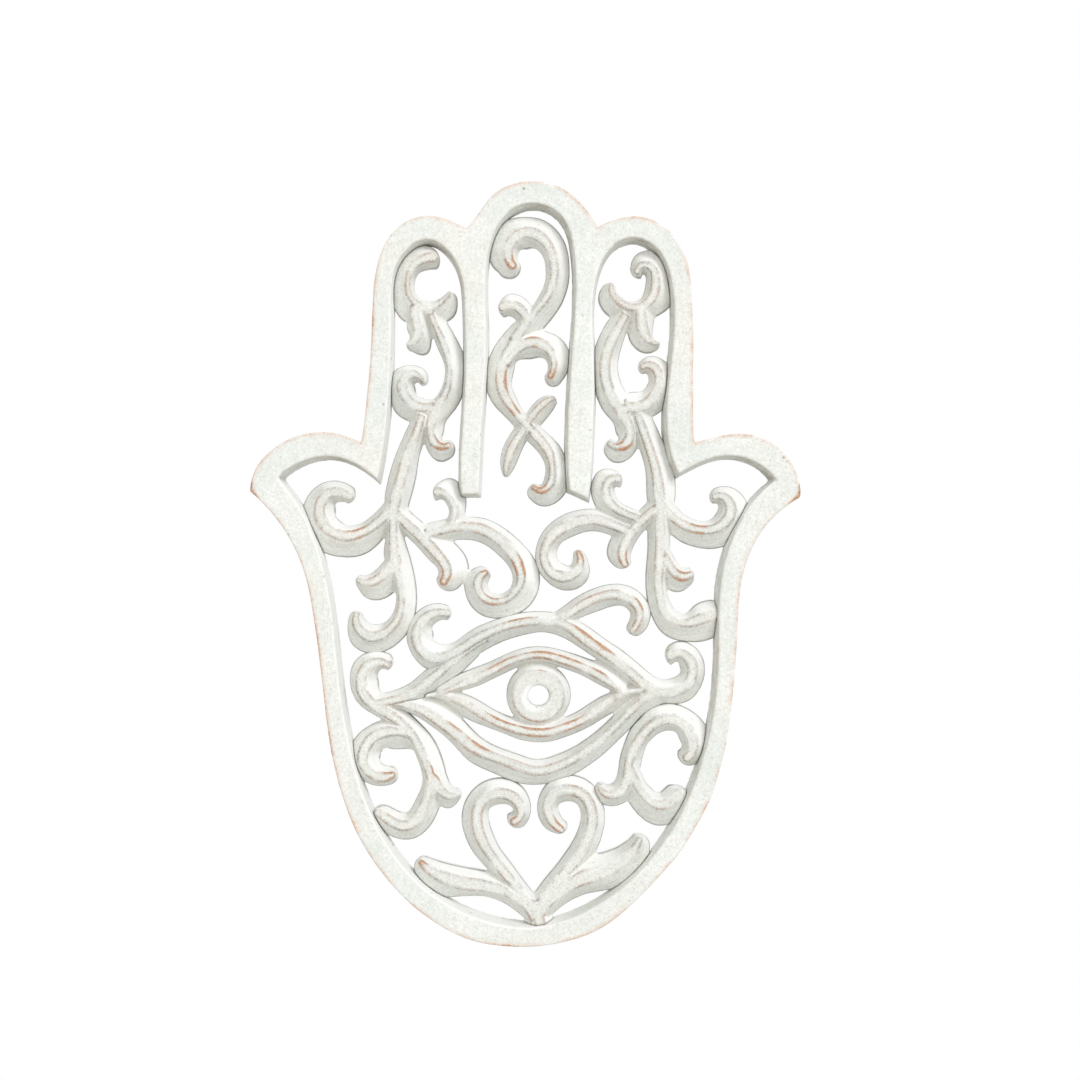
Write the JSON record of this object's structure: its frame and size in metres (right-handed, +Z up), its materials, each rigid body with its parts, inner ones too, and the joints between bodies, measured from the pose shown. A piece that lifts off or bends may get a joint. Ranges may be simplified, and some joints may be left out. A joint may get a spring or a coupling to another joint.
{
  "type": "hamsa wall ornament",
  "caption": "Carved wooden open hand for a wall: a flat frame filled with pierced scrolls, an eye and a heart, whitewashed and worn, hung by swinging wire rings behind its finger bars.",
  "frame": {"origin": "on the back of the bottom rail, in the middle of the hand, 5 mm above its lowest point", "axes": "+X to the viewer's right, +Y out of the back into the wall, +Z up along the middle finger"},
  "size_m": [0.2879, 0.019, 0.4002],
  "materials": {
    "painted_wood": "chalky whitewash, worn to brown wood along the edges",
    "steel": "zinc plated"
  },
  "bodies": {
    "panel": {"base_leaf_left": "painted_wood", "base_leaf_right": "painted_wood", "brow_branch": "painted_wood", "eye_almond": "painted_wood", "eye_brow": "painted_wood", "eye_lower_band": "painted_wood", "finger_frame": "painted_wood", "hanger_screws": "steel", "heart_left": "painted_wood", "heart_right": "painted_wood", "iris_ring": "painted_wood", "left_cheek_curl": "painted_wood", "left_cheek_scroll": "painted_wood", "left_finger_curl": "painted_wood", "left_finger_stem": "painted_wood", "left_hanger_strap": "steel", "left_leaf": "painted_wood", "left_palm_barb": "painted_wood", "left_palm_spiral": "painted_wood", "left_thumb_curl": "painted_wood", "left_vine": "painted_wood", "middle_finger_curl": "painted_wood", "middle_finger_hook": "painted_wood", "middle_finger_leaves": "painted_wood", "middle_finger_stem": "painted_wood", "palm_frame": "painted_wood", "right_cheek_scroll": "painted_wood", "right_cheek_stem": "painted_wood", "right_finger_curl": "painted_wood", "right_finger_stem": "painted_wood", "right_hanger_strap": "steel", "right_leaf": "painted_wood", "right_palm_barb": "painted_wood", "right_palm_spiral": "painted_wood", "right_thumb_curl": "painted_wood", "right_vine": "painted_wood"},
    "left_ring": {"left_hanger_ring": "steel"},
    "right_ring": {"right_hanger_ring": "steel"}
  },
  "joints": [
    {"name": "left_ring_swing", "type": "hinge", "parent": "panel", "child": "left_ring", "pos_m": [-0.0272, 0.002, 0.341], "axis": [-1, 0, 0], "range_deg": [0, 170]},
    {"name": "right_ring_swing", "type": "hinge", "parent": "panel", "child": "right_ring", "pos_m": [0.0304, 0.002, 0.341], "axis": [-1, 0, 0], "range_deg": [0, 170]}
  ]
}
